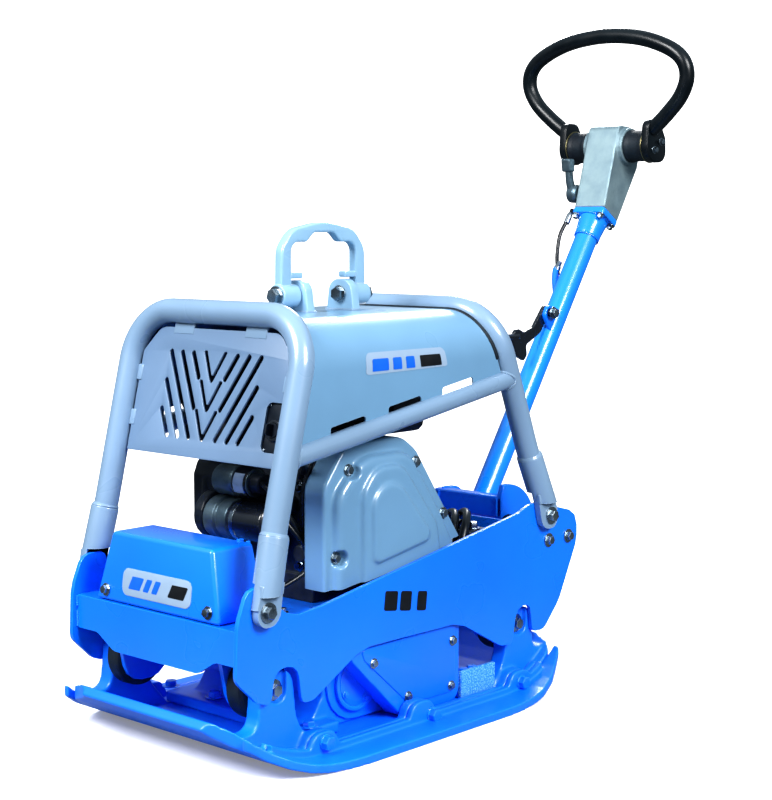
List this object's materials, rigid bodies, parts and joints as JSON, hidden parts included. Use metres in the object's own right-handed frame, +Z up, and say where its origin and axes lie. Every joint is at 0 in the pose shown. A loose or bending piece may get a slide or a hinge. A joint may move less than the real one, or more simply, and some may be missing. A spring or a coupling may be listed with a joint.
{
  "type": "plate compactor",
  "caption": "Reversible vibratory plate compactor: cast base plate with exciter, sprung engine frame in a tube cage, lifting bail and folding drawbar with bow handle.",
  "frame": {"origin": "on the ground under the middle of the base plate", "axes": "+Z up, -Y towards the front grille, +Y towards the operator, +X towards the belt side"},
  "size_m": [0.592, 1.3709, 1.2951],
  "materials": {
    "blue_paint": "gloss",
    "grey_paint": "semi-gloss",
    "black_coat": "semi-gloss",
    "black_plastic": "matte",
    "rubber": "matte",
    "steel": "zinc plated",
    "iron": "rough",
    "aluminium": "cast"
  },
  "bodies": {
    "base": {"base_plate": "blue_paint", "extension_plate_right": "blue_paint", "extension_plate_left": "blue_paint", "exciter_housing": "blue_paint", "exciter_cover_right": "blue_paint", "exciter_cover_left": "blue_paint", "lower_belt_cover": "blue_paint", "buffer_front_right": "rubber", "buffer_front_left": "rubber", "buffer_rear_right": "rubber", "buffer_rear_left": "rubber"},
    "exciter_rear": {"eccentric_shaft_rear": "steel", "timing_gear_rear": "steel", "exciter_pulley": "iron"},
    "exciter_front": {"eccentric_shaft_front": "steel", "timing_gear_front": "steel"},
    "frame": {"side_plate_right": "blue_paint", "side_plate_left": "blue_paint", "bumper_plate": "blue_paint", "deck_plate": "blue_paint", "drawbar_bearing_right": "rubber", "drawbar_bearing_left": "rubber", "front_hoop": "grey_paint", "rear_hoop": "grey_paint", "hood_rail_right": "grey_paint", "hood_rail_left": "grey_paint", "grille_plate": "grey_paint", "engine_hood": "grey_paint", "bail_lug_front": "grey_paint", "bail_lug_rear": "grey_paint", "bail_pin_front": "steel", "bail_pin_rear": "steel", "crankcase": "iron", "cylinder_head": "iron", "flywheel_housing": "black_plastic", "drive_belt": "rubber", "starter_motor": "black_coat", "starter_solenoid": "black_coat", "air_filter": "black_plastic", "muffler": "iron", "fuel_tank": "black_plastic", "belt_guard": "grey_paint", "battery_cover": "blue_paint", "battery": "black_plastic", "control_box": "black_plastic"},
    "crank": {"crankshaft": "steel", "clutch_pulley": "iron"},
    "drawbar": {"drawbar_tube": "blue_paint", "handle_head": "aluminium", "head_bush_right": "rubber", "head_bush_left": "rubber"},
    "handle": {"handle_bow": "black_coat", "handle_shaft": "steel"},
    "throttle": {"throttle_lever": "aluminium"},
    "latch": {"drawbar_latch": "black_coat"},
    "bail": {"lifting_bail": "grey_paint"},
    "key": {"ignition_key": "black_plastic"}
  },
  "joints": [
    {"name": "suspension", "type": "slide", "parent": "base", "child": "frame", "axis": [0, 0, 1], "range_m": [-0.006, 0.006], "stiffness_N_per_m": 400000, "springref_m": 0.00433, "deforming": ["drive_belt"]},
    {"name": "crank_spin", "type": "hinge", "parent": "frame", "child": "crank", "pos_m": [0, -0.035, 0.4], "axis": [1, 0, 0], "continuous": true},
    {"name": "exciter_rear_spin", "type": "hinge", "parent": "base", "child": "exciter_rear", "pos_m": [0, 0.044, 0.094], "axis": [1, 0, 0], "continuous": true},
    {"name": "exciter_front_spin", "type": "hinge", "parent": "base", "child": "exciter_front", "pos_m": [0, -0.076, 0.094], "axis": [1, 0, 0], "continuous": true},
    {"name": "drawbar_pivot", "type": "hinge", "parent": "frame", "child": "drawbar", "pos_m": [0, 0.43, 0.282], "axis": [1, 0, 0], "range_deg": [-40, 32]},
    {"name": "handle_pivot", "type": "hinge", "parent": "drawbar", "child": "handle", "pos_m": [0, 0.896, 1.05], "axis": [1, 0, 0], "range_deg": [-20, 20]},
    {"name": "throttle_pivot", "type": "hinge", "parent": "drawbar", "child": "throttle", "pos_m": [-0.05, 0.833, 0.949], "axis": [1, 0, 0], "range_deg": [-30, 30]},
    {"name": "latch_pivot", "type": "hinge", "parent": "drawbar", "child": "latch", "pos_m": [0.004, 0.6568, 0.70013], "axis": [1, 0, 0], "range_deg": [-30, 3]},
    {"name": "bail_pivot", "type": "hinge", "parent": "frame", "child": "bail", "pos_m": [0, 0, 0.756], "axis": [0, 1, 0], "range_deg": [-80, 80]},
    {"name": "key_turn", "type": "hinge", "parent": "frame", "child": "key", "pos_m": [0.167, -0.27859, 0.548], "axis": [0, 0.9717, -0.2361], "range_deg": [0, 60]}
  ],
  "couplings": [
    {"joint": "exciter_rear_spin", "follows": "crank_spin", "ratio": 1.1905},
    {"joint": "exciter_front_spin", "follows": "crank_spin", "ratio": -1.1905}
  ]
}
